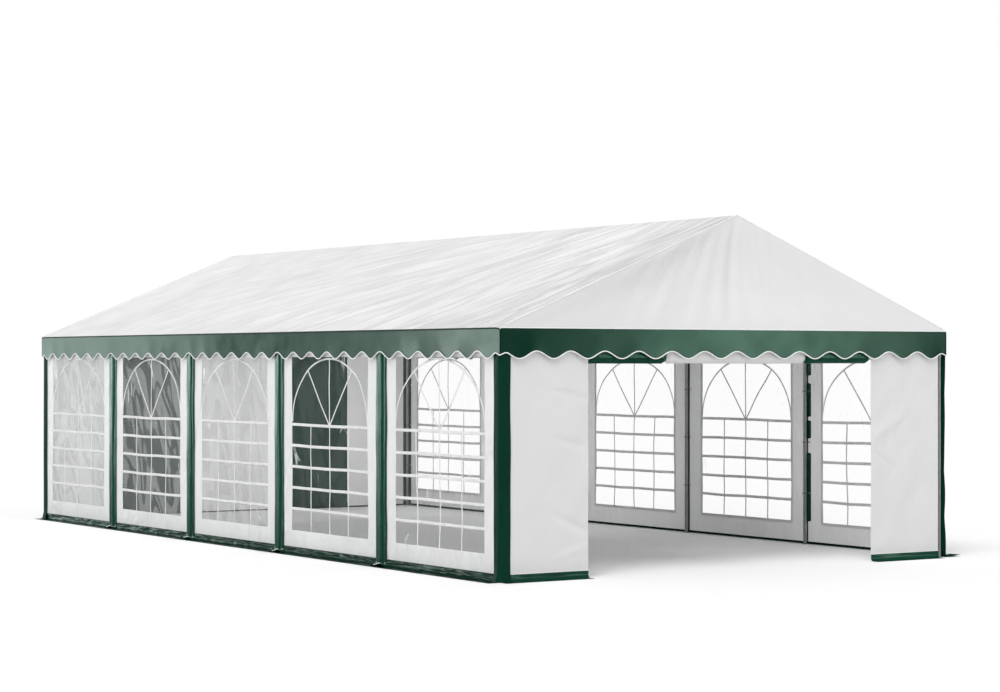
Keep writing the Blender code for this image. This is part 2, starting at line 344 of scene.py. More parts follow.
def close_tree(tree, geometry, given, end):
    """End a tree in real geometry with one material."""
    real = add_node(tree, "GeometryNodeRealizeInstances", {"Geometry": geometry})[0]
    smooth = add_node(tree, "GeometryNodeSetShadeSmooth", {"Geometry": real})[0]
    finish = add_node(tree, "GeometryNodeSetMaterial", {"Geometry": smooth, "Material": given["Material"]})[0]
    feed(tree, end, {"Geometry": finish})
    return tree


@once("Cord along a line")
def cord_tree(name):
    """A round cord along a line of edges."""
    tree, given, end = geometry_tree(name, [("Radius", "Float"), ("Sides", "Int")])
    curve = add_node(tree, "GeometryNodeMeshToCurve", {"Mesh": given["Geometry"]})[0]
    ring = circle(tree, given["Sides"], given["Radius"])
    return close_tree(tree, sweep(tree, curve, ring, caps=True), given, end)


@once("Window bars")
def bar_tree(name):
    """Flat bars, welded on the clear film of a window, along the lines of the window's pattern."""
    tree, given, end = geometry_tree(name, [("Width", "Float"), ("Flatness", "Float"), ("Spacing", "Float")])
    curve = add_node(tree, "GeometryNodeMeshToCurve", {"Mesh": given["Geometry"]})[0]
    even = add_node(tree, "GeometryNodeResampleCurve", {
        "Curve": curve, "Length": given["Spacing"],
    }, mode="LENGTH")[0]
    ring = circle(tree, 8, calculate(tree, "MULTIPLY", given["Width"], 0.5))
    tube = sweep(tree, even, ring, caps=True)
    scale = add_node(tree, "ShaderNodeCombineXYZ", {"X": 1.0, "Y": given["Flatness"], "Z": 1.0})[0]
    flat = add_node(tree, "GeometryNodeTransform", {"Geometry": tube, "Scale": scale})[0]
    return close_tree(tree, flat, given, end)


@once("Rings at points")
def ring_tree(name):
    """A ring of round cord at each point, turned the same way everywhere."""
    tree, given, end = geometry_tree(name, [
        ("Ring Radius", "Float"), ("Cord Radius", "Float"), ("Turn", "Rotation"),
    ])
    tube = sweep(tree, circle(tree, 20, given["Ring Radius"]), circle(tree, 6, given["Cord Radius"]))
    points = add_node(tree, "GeometryNodeMeshToPoints", {"Mesh": given["Geometry"]})[0]
    rings = add_node(tree, "GeometryNodeInstanceOnPoints", {
        "Points": points, "Instance": tube, "Rotation": given["Turn"],
    })[0]
    return close_tree(tree, rings, given, end)


@once("Coated weave")
def weave_group(name):
    """Crossed threads under the coating, as a height, with vectors in metres."""
    group, given, end = new_tree(name, "ShaderNodeTree", [
        ("Vector", "Vector", (0.0, 0.0, 0.0)), ("Threads", "Float", 500.0),
    ], [("Height", "Float")])
    waves = [
        add_node(group, "ShaderNodeTexWave", {
            "Vector": given["Vector"], "Scale": given["Threads"], "Distortion": 0.4, "Detail": 1.0,
        }, bands_direction=direction)["Fac"]
        for direction in ("X", "Y")
    ]
    feed(group, end, {"Height": calculate(group, "MULTIPLY", *waves)})
    return group


@once("Soft creases")
def crease_group(name):
    """Long soft creases: noise drawn out along one direction of the cloth."""
    group, given, end = new_tree(name, "ShaderNodeTree", [
        ("Vector", "Vector", (0.0, 0.0, 0.0)), ("Across", "Float", 6.0), ("Along", "Float", 0.8),
        ("Bend", "Float", 0.6), ("Detail", "Float", 3.0), ("Width", "Float", 0.16),
    ], [("Height", "Float"), ("Mask", "Float")])
    scale = add_node(group, "ShaderNodeCombineXYZ", {"X": given["Along"], "Y": given["Across"], "Z": 1.0})[0]
    drawn = add_node(group, "ShaderNodeVectorMath", {0: given["Vector"], 1: scale}, operation="MULTIPLY")[0]
    folds = add_node(group, "ShaderNodeTexNoise", {
        "Vector": drawn, "Scale": 1.0, "Detail": given["Detail"], "Roughness": 0.45,
        "Distortion": given["Bend"],
    })["Fac"]
    size = calculate(group, "ABSOLUTE", calculate(group, "SUBTRACT", folds, 0.5))
    sharp = remap(group, size, 1.0, 0.0, 0.0, given["Width"], smooth=True)
    feed(group, end, {"Height": sharp, "Mask": folds})
    return group


@once("Handling marks")
def handling_group(name):
    """Cloudy marks of handling and dust, as a mask."""
    group, given, end = new_tree(name, "ShaderNodeTree", [
        ("Vector", "Vector", (0.0, 0.0, 0.0)), ("Size", "Float", 0.5),
    ], [("Mask", "Float")])
    scale = calculate(group, "DIVIDE", 1.0, given["Size"])
    clouds = add_node(group, "ShaderNodeTexNoise", {
        "Vector": given["Vector"], "Scale": scale, "Detail": 5.0, "Roughness": 0.55,
    })["Fac"]
    feed(group, end, {"Mask": remap(group, clouds, 0.0, 1.0, 0.32, 0.68)})
    return group


# Finishes

def new_material(name):
    """A new material, its node tree and its shader."""
    material = bpy.data.materials.new(name)
    material.use_nodes = True
    return material, material.node_tree, material.node_tree.nodes["Principled BSDF"]


def tone(colour, share):
    """A lighter or darker colour."""
    return tuple(min(1.0, part * share) for part in colour)


def creases(across, along, bend, strength, crease_shade=0.0, detail=3.0, width=0.16):
    """Creases of a cloth: their shape, the strength of their relief and how much painted shade darkens their
    lines.
    """
    shape = {"Across": across, "Along": along, "Bend": bend, "Detail": detail, "Width": width}
    return shape, strength, crease_shade


def cloth_finish(
    name, colour, lighter_share, darker_share, roughness, creased, specular=0.5, tint=(1.0, 1.0, 1.0), calm=None,
    shade_band=None, weave=0.15,
):
    """A coated cloth: colour with handling marks, painted highlight and shade, woven threads and soft creases.

    The lighter and darker shares are the shares of its colour that it blends between, by the handling marks,
    which stand for dust, times the noise of its folds, which paints highlight and shade along them. The creases
    come and go in patches, and grow faint between the two places of calm along the cloth; crease shade is how
    much painted shade darkens their lines. The shade band holds where along it a painted shade starts and is
    full, and its share.
    """
    tree, shader = new_material(name)[1:]
    shape, strength, crease_shade = creased
    place = add_node(tree, "ShaderNodeUVMap", {}, uv_map="cloth")[0]
    flow = add_node(tree, "ShaderNodeUVMap", {}, uv_map="folds")[0]
    marks = add_group(tree, handling_group(), Vector=place, Size=0.35)["Mask"]
    folds = add_group(tree, crease_group(), Vector=flow, **shape)
    threads = add_group(tree, weave_group(), Vector=place, Threads=260.0)["Height"]
    # The handling marks stand for dust; the fold noise they are multiplied with paints highlight and shade
    # along the folds
    both = calculate(tree, "MULTIPLY", marks, folds["Mask"])
    mixed = mix(tree, both, tone(colour, darker_share), tone(colour, lighter_share))
    rough = remap(tree, marks, roughness - 0.05, roughness + 0.07)
    broad = add_group(tree, handling_group(), Vector=place, Size=1.3)["Mask"]
    height = calculate(tree, "MULTIPLY", folds["Height"], remap(tree, broad, 0.25, 1.0))
    if calm:
        along = add_node(tree, "ShaderNodeSeparateXYZ", {"Vector": place})["X"]
        height = calculate(tree, "MULTIPLY", height, remap(tree, along, 1.45, 0.25, *calm))
    # Painted shade: the crease lines are darkened towards black, where shade would fall in the folds
    shaded_colour = mix(tree, calculate(tree, "MULTIPLY", height, crease_shade), mixed, (0.0, 0.0, 0.0))
    # Painted shade: the cloth darkens towards black along its length, from where the band starts to where it is
    # full
    if shade_band:
        start, end, share = shade_band
        along = add_node(tree, "ShaderNodeSeparateXYZ", {"Vector": place})["X"]
        shaded_colour = mix(tree, remap(tree, along, 0.0, share, start, end), shaded_colour, (0.0, 0.0, 0.0))
    crease = add_node(tree, "ShaderNodeBump", {"Height": height, "Strength": strength, "Distance": 0.014})[0]
    cloth = add_node(tree, "ShaderNodeBump", {
        "Height": threads, "Strength": weave, "Distance": 0.0004, "Normal": crease,
    })[0]
    feed(tree, shader, {
        "Base Color": shaded_colour, "Roughness": rough, "Normal": cloth, "Specular IOR Level": specular,
        "Specular Tint": (*tint, 1.0),
    })


def film_finish(name, painted_reflection, streaks, ripple=1.0):
    """Clear flexible film: a white veil painted in for its reflection of the bright surround, which its bends
    thin, and painted glints where it creases.
    """
    tree, shader = new_material(name)[1:]
    flow = add_node(tree, "ShaderNodeUVMap", {}, uv_map="folds")[0]
    place = add_node(tree, "ShaderNodeUVMap", {}, uv_map="cloth")[0]
    crease = crease_group()
    broad = add_group(tree, crease, Vector=flow, Across=2.3, Along=0.9, Bend=1.6, Detail=1.0)["Height"]
    fine = add_group(tree, crease, Vector=flow, Across=3.8, Along=1.4, Bend=0.8, Detail=0.6)["Height"]
    patch = add_group(tree, handling_group(), Vector=place, Size=0.55)["Mask"]
    # Painted reflection: a white veil over the film, thinner along its broad bends
    reflection_layer = remap(tree, broad, painted_reflection * (1.0 + 0.15 * ripple), painted_reflection * (1.0 - 0.3 * ripple), 0.6, 0.8)
    # Painted glints along the sharpest creases, where the patches allow
    glint = remap(tree, fine, 0.0, streaks, 0.93, 1.0)
    spot = remap(tree, patch, 0.0, 1.0, 0.72, 0.95, smooth=True)
    veil = calculate(tree, "MULTIPLY_ADD", glint, spot, reflection_layer)
    # The painted reflection grows at grazing angles
    edge = add_node(tree, "ShaderNodeFresnel", {"IOR": 1.45})[0]
    shine = calculate(tree, "MULTIPLY_ADD", edge, 0.22, veil)
    # From inside, the painted reflection is a quarter as strong
    back = add_node(tree, "ShaderNodeNewGeometry", {})["Backfacing"]
    alpha = calculate(tree, "MULTIPLY", shine, remap(tree, back, 1.0, 0.25))
    # The film lets less light into the tent than it lets the eye see
    path = add_node(tree, "ShaderNodeLightPath", {})
    shadow = calculate(tree, "MULTIPLY_ADD", path["Is Shadow Ray"], 0.95, alpha)
    cover = calculate(tree, "MULTIPLY_ADD", path["Is Diffuse Ray"], 0.5, shadow, clamp=True)
    bent = add_node(tree, "ShaderNodeBump", {"Height": broad, "Strength": 0.35, "Distance": 0.02})[0]
    feed(tree, shader, {
        "Alpha": cover, "Normal": bent, "Base Color": (0.90, 0.91, 0.91, 1.0), "Roughness": 0.18,
        "Transmission Weight": 0.2, "IOR": 1.1,
    })


def plain_finish(name, colour, roughness, metallic=0.0, through=0.0):
    """A hard finish with handling marks that change its colour and gloss."""
    tree, shader = new_material(name)[1:]
    place = add_node(tree, "ShaderNodeTexCoord", {})["Object"]
    marks = add_group(tree, handling_group(), Vector=place, Size=0.06)["Mask"]
    feed(tree, shader, {
        "Base Color": mix(tree, marks, tone(colour, 0.86), colour),
        "Roughness": remap(tree, marks, roughness + 0.1, roughness), "Metallic": metallic,
    })
    if through:
        feed(tree, shader, {"Transmission Weight": through, "IOR": 1.05})


def finishes():
    """The materials, with the tent's own finishes made at the first call."""
    made = bpy.data.materials
    if "roof cloth" in made:
        return made
    cloth = bpy.context.scene.marquee_cloth
    white, green = tuple(cloth.white), tuple(cloth.green)
    # The white cloth and the green cloth each come as lighter and darker copies of one colour, set part by part
    # to how light falls there: painted light and shade
    glossy = (0.50, 1.0, 0.72)
    # Painted shade darkens the roof towards its front end
    cloth_finish(
        "roof cloth", white, 1.17, 1.12, 0.50, creases(3.4, 0.5, 0.35, 0.5, 0.16, 1.3, 0.12),
        calm=(-5.0, 3.5), shade_band=(-3.6, -4.8, 0.09),
    )
    # Painted shade darkens each gable cloth towards one end
    cloth_finish("gable cloth", white, 1.07, 1.02, 0.50, creases(3.6, 0.6, 0.5, 0.13), shade_band=(0.2, 2.2, 0.07))
    cloth_finish("wall cloth", white, 0.99, 0.93, 0.42, creases(2.2, 1.0, 1.2, 0.12))
    cloth_finish("side cloth", white, 1.08, 1.01, 0.42, creases(3.4, 1.4, 1.2, 0.5, 0.06))
    cloth_finish(
        "valance cloth", green, 0.62, 0.55, 0.13, creases(1.6, 0.5, 0.3, 0.02), 0.24, glossy, weave=0.06,
    )
    cloth_finish("trim cloth", green, 1.7, 1.15, 0.22, creases(5.0, 0.7, 0.5, 0.35, 0.3), 0.40, glossy)
    cloth_finish("dark trim cloth", green, 1.0, 0.8, 0.45, creases(5.0, 0.6, 0.3, 0.25, 0.2), 0.06, glossy)
    cloth_finish("flap cloth", green, 0.8, 0.5, 0.20, creases(22.0, 2.5, 0.6, 0.4, 0.3, 1.2), 0.24, glossy)
    plain_finish("white welt", tone(white, 1.28), 0.40)
    plain_finish("bar tape", tone(white, 1.28), 0.40, through=0.2)
    plain_finish("green welt", tone(green, 0.9), 0.45)
    plain_finish("zinc tube", (0.66, 0.67, 0.68), 0.38, metallic=1.0)
    plain_finish("tie cord", (0.12, 0.13, 0.13), 0.60)
    # Painted reflection on the film: strongest on the farthest window, weaker on the two before it, faint
    # elsewhere
    film_finish("milky film", 2.1 * cloth.film_reflection, 0.4, 0.7)
    film_finish("hazy film", 1.05 * cloth.film_reflection, 0.9, 1.5)
    film_finish("clear film", 0.2 * cloth.film_reflection, 0.5)
    return made


# Shapes of the hanging cloths

def roof_flow(along, across):
    """Fold coordinates of the roof. The folds rise steeply from the eave and bend towards the front."""
    front = along + ROOF_HALF_LENGTH
    lean = 0.25 + 0.75 * fade(front, 0.0, 4.0)
    bent = front + lean * (0.30 * across + 0.36 * across * across)
    warp = 0.5 * wobble(front * 0.4, across * 0.5, 21.0) - 0.8 * math.exp(-front / 0.5)
    return 1.6 * across - 0.4 * front, 0.8 * (bent + warp)


def roof_folds(along, place):
    """Fold coordinates for the roof's map, where place runs over the ridge."""
    return roof_flow(along, ROOF_SLOPE_LENGTH - abs(place))


def roof_relief(along, across):
    """How far the roof cloth stands off its flat slope, from its run along the tent and up the slope."""
    cloth = bpy.context.scene.marquee_cloth
    between = math.sin(math.pi * (((along + HALF_LENGTH) % BAY) / BAY)) ** 2
    span = fade(across, 0.0, 0.5) * fade(ROOF_SLOPE_LENGTH - across, 0.0, 0.4)
    # Broad swells, with fine creases and long sharp lines that come and go in patches
    run, flow = roof_flow(along, across)
    broad = wobble(flow * 1.5, run * 0.3, 3.1)
    fine = wobble(flow * 6.5, run * 0.7, 7.7)
    line = 1.0 - min(1.0, abs(wobble(flow * 2.2 + 0.4 * broad, run * 0.4, 11.3)) * 3.2)
    patch = 0.3 + 0.7 * fade(wobble(flow * 0.6, run * 0.5, 31.0), -0.25, 0.3)
    # They are strongest at the front end and faint at the back
    taut = 1.3 - 0.3 * fade(along, -5.0, -2.0) - 0.75 * fade(along, -2.0, 3.0)
    folds = (0.25 + 0.25 * fade(along, -5.0, -2.5)) * broad + (0.2 * fine + 0.9 * line * line) * patch
    end = ROOF_HALF_LENGTH - abs(along)
    # Over the outermost rafters the cloth rises a little, then dips behind them
    rake = 0.004 * bump(end, 0.035, 0.022) - 0.005 * bump(end, 0.115, 0.03)
    rake *= (0.3 + 0.7 * fade(wobble(across * 1.3, along, 41.0), -0.3, 0.3)) * span
    sag = -cloth.bay_sag * between * span - 0.016 * span * bump(end, 0.9, 0.45)
    folds -= 0.25 * (1.0 - fade(end, 0.2, 1.2))
    relief = sag + cloth.roof_crease * taut * span * folds
    return relief * fade(end, 0.02, 0.24) + rake * fade(end, 0.0, 0.03)


def roof_point(along, place):
    """A point of the roof cloth; place runs from the left eave over the ridge to the right eave."""
    ridge_radius, corner = 0.005, 0.045
    across = ROOF_SLOPE_LENGTH - abs(place)
    flat = abs(place) * math.cos(SLOPE)
    drop = math.tan(SLOPE) * math.hypot(flat, ridge_radius)
    relief = roof_relief(along, across) - CLOTH_THICKNESS / 2
    end = ROOF_HALF_LENGTH - abs(along)
    tuck = max(0.0, 1.0 - across / corner) * max(0.0, 1.0 - end / corner)
    width = flat + math.sin(SLOPE) * relief * fade(flat, 0.0, 0.05) - 0.004 * tuck
    return (
        width if place >= 0.0 else -width,
        along * (1.0 - 0.0008 * tuck),
        RIDGE - drop + math.cos(SLOPE) * relief - 0.022 * tuck,
    )


def hem_height(place, run, scallops):
    """Height of the scalloped hem at a place between the middle and an end of the run."""
    corner = run / 2 - abs(place)
    wave = math.cos(2.0 * math.pi * scallops * (corner - 0.02 * bump(corner, 0.0, 0.5)) / run)
    dip = 0.034 * (1.0 - fade(corner, 0.0, 0.085))
    return (HEM_LOW + HEM_HIGH) / 2 + (HEM_HIGH - HEM_LOW) / 2 * wave - dip


def valance_out(along, down, run, seed):
    """How far the valance hangs outward: soft upright folds that grow towards the hem."""
    free = fade(run / 2 - abs(along), 0.0, 0.35)
    folds = wobble(along * 1.1, down * 0.4, seed) + 0.35 * wobble(along * 3.1, down * 0.6, seed + 5.0)
    return OVERHANG - 0.002 + 0.007 * free * down * folds + 0.003 * free * down


def wall_out(face, along, up, seed):
    """How far a wall cloth stands outward. It lies flat over the posts and bellies between them."""
    near = min(abs(along - post) for post in post_places(face))
    free = fade(near, 0.05, 0.40) * fade(WALL_HIGH - up, 0.0, 0.25) * fade(up, 0.05, 0.30)
    folds = wobble(along * 1.3, up * 0.8, seed) + 0.5 * wobble(along * 3.7 + up, up * 1.9, seed + 3.0)
    tug = wobble((along + 0.8 * up) * 4.5, (up - along) * 1.1, seed + 9.0)
    return -0.0022 + free * (0.011 * folds + 0.004 * tug)


# Creases that run from the door's edge into the walls beside it: height at the edge, rise for each
# metre from it, length, half width and depth outward, in metres
TUGS = {
    "front_wall_left": (
        (1.54, 0.21, 0.56, 0.030, -0.0060), (1.13, 0.20, 0.48, 0.032, -0.0060),
        (0.40, 0.42, 0.50, 0.034, -0.0080), (0.27, -0.25, 0.42, 0.030, 0.0050),
    ),
    "front_wall_right": (
        (1.04, -0.60, 0.52, 0.022, -0.0050), (1.14, 0.56, 0.62, 0.060, 0.0070),
        (1.78, -0.30, 0.40, 0.040, -0.0040),
    ),
}


def tugs(node, from_edge, up):
    """How far the creases of one wall stand out at a distance from the door's edge."""
    out = 0.0
    for start, rise, length, width, depth in TUGS.get(node, ()):
        line = bump(up, start + rise * from_edge, width)
        out += depth * line * (1.0 - fade(from_edge, 0.35 * length, length))
    return out * fade(from_edge, 0.0, 0.03)


# Heights at which the right side's front wall reaches the post behind it, in metres
TAB_HEIGHTS = ((0.0, 0.235), (0.93, 1.08), (1.26, 1.30), (1.64, 1.72))


def edge_gap(face, count, up, at_start):
    """How far the edge of a window wall stays back from its end, at a height."""
    if (face, count, at_start) == ("right", 1, True):
        return 0.0 if any(low <= up <= high for low, high in TAB_HEIGHTS) else 0.046
    if (face, count, at_start) == ("right", BAYS, True):
        return 0.022
    seed = 3.0 * count + (40.0 if at_start else 60.0) + (9.0 if face == "right" else 0.0)
    return 0.005 + 0.012 * abs(wobble(up * 1.9, 0.0, seed))


def turned_length(top, bend, reach):
    """Length of a cloth that hangs from a height, turns round a soft bend and lies on the ground."""
    return top - bend + bend * math.pi / 2 + reach - bend


def turned_path(top, bend, run):
    """Outward and up at a run down such a cloth."""
    down = top - bend
    if run <= down:
        return 0.0, top - run
    turn = min((run - down) / bend, math.pi / 2)
    return bend - bend * math.cos(turn) + run - down - turn * bend, bend - bend * math.sin(turn)


def foot(run, reach, seed, along):
    """Outward and up at a run down a strip, whose foot lies a little uneven on the ground."""
    out, up = turned_path(STRIP_TOP, FOOT_BEND, run)
    lift = 0.016 + 0.010 * wobble(along * 8.0, out * 20.0, seed)
    return out, up + lift * fade(out, FOOT_BEND, reach)


# Settings

class MarqueeCloth(bpy.types.PropertyGroup):
    """Colours and folds of the cloth."""

    white: FloatVectorProperty(
        name="White cloth", description="Colour of the roof and the walls", subtype="COLOR", size=3,
        min=0.0, max=1.0, default=(0.735, 0.735, 0.74),
    )
    green: FloatVectorProperty(
        name="Green cloth", description="Colour of the valance, strips and flaps", subtype="COLOR", size=3,
        min=0.0, max=1.0, default=(0.0035, 0.042, 0.025),
    )
    roof_crease: FloatProperty(
        name="Roof creases", description="Height of the roof's long creases", default=0.030,
        min=0.0, max=0.05, unit="LENGTH",
    )
    bay_sag: FloatProperty(
        name="Bay sag", description="How far the roof sags between two rafters", default=0.016,
        min=0.0, max=0.05, unit="LENGTH",
    )
    # The white veil painted on the film for its reflection of the bright surround
    film_reflection: FloatProperty(
        name="Film haze", description="Share of the view that the film of the far windows hides",
        default=0.22, min=0.0, max=1.0, subtype="FACTOR",
    )


class MarqueeWindows(bpy.types.PropertyGroup):
    """Pattern of white bars on each window."""

    bar_width: FloatProperty(
        name="Bar width", description="Width of the level bars", default=0.028, unit="LENGTH",
    )
    post_width: FloatProperty(
        name="Upright width", description="Width of the upright bars", default=0.018, unit="LENGTH",
    )
    top_bar: FloatProperty(
        name="Topmost level bar", description="Height of the bar under the arch", default=1.25, unit="LENGTH",
    )
    bar_step: FloatProperty(
        name="Step of the level bars", description="Distance from one level bar to the next",
        default=0.2025, unit="LENGTH",
    )
    arch_top: FloatProperty(
        name="Top of the arch", description="Height of the arch's highest point", default=1.885,
        unit="LENGTH",
    )


class MarqueeTrims(bpy.types.PropertyGroup):
    """Valance hem, strips and flaps."""

    welt_radius: FloatProperty(
        name="Hem cord radius", description="Radius of the white cord on the scalloped hem",
        default=0.0055, unit="LENGTH",
    )
    strip_width: FloatProperty(
        name="Strip width", description="Width of the green strip over a post", default=0.19, unit="LENGTH",
    )
    flap_reach: FloatProperty(
        name="Flap reach", description="How far a flap lies out on the ground", default=0.118, unit="LENGTH",
    )


class MarqueeStage(bpy.types.PropertyGroup):
    """Studio round the tent."""

    floor: FloatVectorProperty(
        name="Floor", description="Colour of the studio floor", subtype="COLOR", size=3,
        min=0.0, max=1.0, default=(0.95, 0.95, 0.95),
    )
    sky: FloatProperty(
        name="Surround light", description="Strength of the even light from all round", default=0.66,
        min=0.0, max=4.0,
    )
    mirrored: FloatProperty(
        name="Mirrored surround", description="Strength of the surround in reflections", default=0.15,
        min=0.0, max=4.0,
    )
    key: FloatProperty(
        name="Key light", description="Strength of the soft light from the front left", default=1.75,
        min=0.0, max=10.0,
    )
    panels: FloatProperty(
        name="Panels", description="Brightness of the panels that show as sheen on the green cloth",
        default=3.0, min=0.0, max=20.0,
    )
    inside: FloatProperty(
        name="Light inside", description="Brightness of the soft light inside the tent", default=0.45,
        min=0.0, max=5.0,
    )


# Studio

def light_surround(scene, stage):
    """An even surround that is dimmer in reflections, and plain white behind the tent."""
    world = bpy.data.worlds.new("studio surround")
    world.use_nodes = True
    tree = world.node_tree
    white = (1.0, 1.0, 1.0, 1.0)
    even = tree.nodes["Background"]
    feed(tree, even, {"Color": white, "Strength": stage.sky})
    backdrop, mirrored = (
        add_node(tree, "ShaderNodeBackground", {"Color": white, "Strength": strength})[0]
        for strength in (1.0, stage.mirrored)
    )
    path = add_node(tree, "ShaderNodeLightPath", {})
    around = add_node(tree, "ShaderNodeMixShader", {
        0: path["Is Glossy Ray"], 1: even.outputs[0], 2: mirrored,
    })[0]
    seen = calculate(tree, "MAXIMUM", path["Is Camera Ray"], path["Is Transmission Ray"])
    both = add_node(tree, "ShaderNodeMixShader", {0: seen, 1: around, 2: backdrop})[0]
    feed(tree, tree.nodes["World Output"], {"Surface": both})
    scene.world = world


def lay_floor(stage):
    """A wide level floor under the tent, grey where the cloth mirrors it."""
    half = 150.0
    mesh = bpy.data.meshes.new("studio floor")
    corners = [(-half, -half, 0.0), (half, -half, 0.0), (half, half, 0.0), (-half, half, 0.0)]
    mesh.from_pydata(corners, [], [(0, 1, 2, 3)])
    finish, tree, shader = new_material("studio floor")
    place = add_node(tree, "ShaderNodeTexCoord", {})["Object"]
    grain = add_node(tree, "ShaderNodeTexNoise", {"Vector": place, "Scale": 2.0, "Detail": 4.0})["Fac"]
    grained = mix(tree, grain, tone(stage.floor, 0.99), stage.floor)
    glossy = add_node(tree, "ShaderNodeLightPath", {})["Is Glossy Ray"]
    calm = mix(tree, glossy, grained, (0.15, 0.15, 0.15))
    feed(tree, shader, {"Base Color": calm, "Roughness": 0.8, "Specular IOR Level": 0.1})
    mesh.materials.append(finish)
    add_object("studio_floor", mesh)


def face_towards(lamp, direction):
    """Turn a light so that it shines in a direction."""
    lamp.rotation_euler = (-Vector(direction)).to_track_quat("Z", "Y").to_euler()


def add_key(stage):
    """The soft key light from the front left."""
    key = bpy.data.lights.new("soft key", "SUN")
    key.energy = stage.key
    key.angle = math.radians(32.0)
    face_towards(add_object("soft key", key), (0.45, 0.40, -0.90))


def add_panel(name, place, direction, size, brightness, colour=None):
    """A panel that the camera doesn't see. With a colour it shows only as sheen, else it only lights."""
    light = bpy.data.lights.new(name, "AREA")
    light.shape = "RECTANGLE"
    light.size, light.size_y = size
    light.energy = brightness * math.pi * size[0] * size[1]
    lamp = add_object(name, light)
    lamp.location = place
    face_towards(lamp, direction)
    lamp.visible_camera = False
    lamp.visible_transmission = False
    lamp.visible_glossy = bool(colour)
    lamp.visible_diffuse = not colour
    if colour:
        light.color = colour
    else:
        light.spread = math.radians(100.0)


def add_panels(stage):
    """Panels whose sheen shows on the green cloth, and soft light inside the tent."""
    middle_up, tall = 3.0, 5.5
    white, pale = (1.0, 1.0, 1.0), (0.86, 1.0, 0.94)
    behind, before = (22.0, (0.0, -1.0, 0.0)), (-25.0, (0.0, 1.0, 0.0))
    for name, (depth, direction), middle, width, share, colour in (
        ("far sheen", behind, -7.9, 9.8, 0.9, pale), ("faint sheen", behind, -13.9, 2.2, 0.2, pale),
        ("middle sheen", behind, -16.6, 3.2, 0.42, pale), ("near sheen", behind, -22.0, 7.4, 2.0, white),
        ("gable edge", before, 12.4, 2.6, 0.3, white), ("gable sheen", before, 16.05, 4.7, 2.5, white),
        ("gable tail", before, 19.75, 2.7, 1.0, white),
    ):
        add_panel(name, (middle, depth, middle_up), direction, (width, tall), share * stage.panels, colour)
    for name, place, direction, size, share in (
        ("floor bounce", (0.0, 0.2, 0.03), (0.0, 0.0, 1.0), (4.3, 9.0), 0.35),
        ("door bounce", (0.3, -3.8, 1.0), (1.0, 0.0, 0.0), (2.2, 1.6), 1.3),
        ("wall bounce", (0.3, 1.9, 1.0), (1.0, 0.0, 0.0), (5.8, 1.6), 1.15),
        ("back bounce", (0.0, 2.6, 1.0), (0.0, 1.0, 0.0), (4.3, 1.8), 1.25),
    ):
        add_panel(name, place, direction, size, share * stage.inside)


def add_camera(scene):
    """The photograph's camera."""
    camera = add_object("photo camera", bpy.data.cameras.new("photo camera"))
    camera.location = CAMERA_PLACE
    camera.rotation_euler = (math.radians(90.0), 0.0, CAMERA_TURN)
    camera.data.sensor_width = 36.0
    camera.data.lens = CAMERA_LENS
    camera.data.shift_y = CAMERA_SHIFT
    camera.data.clip_end = 500.0
    scene.camera = camera


class MARQUEE_OT_studio(bpy.types.Operator):
    """Set up the floor, the soft light and the camera"""

    bl_idname = "marquee.studio"
    bl_label = "Studio"

    def execute(self, context):
        stage = context.scene.marquee_stage
        context.scene.view_settings.view_transform = "Standard"
        light_surround(context.scene, stage)
        lay_floor(stage)
        add_key(stage)
        add_panels(stage)
        add_camera(context.scene)
        return {"FINISHED"}


# Frame

class MARQUEE_OT_tubes(bpy.types.Operator):
    """Give the posts, rafters, bars and ridge their zinc finish, with plug-in sleeves at the joints"""

    bl_idname = "marquee.tubes"
    bl_label = "Tube frame"

    def execute(self, context):
        finish = finishes()["zinc tube"]
        for name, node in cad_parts.items():
            if name.startswith(("post_", "roof_frame_", "ridge_", "gable_bar_")):
                for slot in node.material_slots:
                    slot.material = finish
        places = post_places("left")
        post_sleeve, half_sleeve = (1.90, 2.03), 0.09
        paths = [
            [(side * POST_X, along, up) for up in post_sleeve] for side in (-1.0, 1.0) for along in places
        ]
        low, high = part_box("ridge_tube")
        middle = (low.z + high.z) / 2 - 0.0015
        for along in places:
            ends = max(low.y, along - half_sleeve), min(high.y, along + half_sleeve)
            paths.append([(0.0, end, middle) for end in ends])
        add_cord("joint_sleeves", finish, TUBE_RADIUS + 0.0025, paths, sides=24)
        return {"FINISHED"}


# Roof and gables

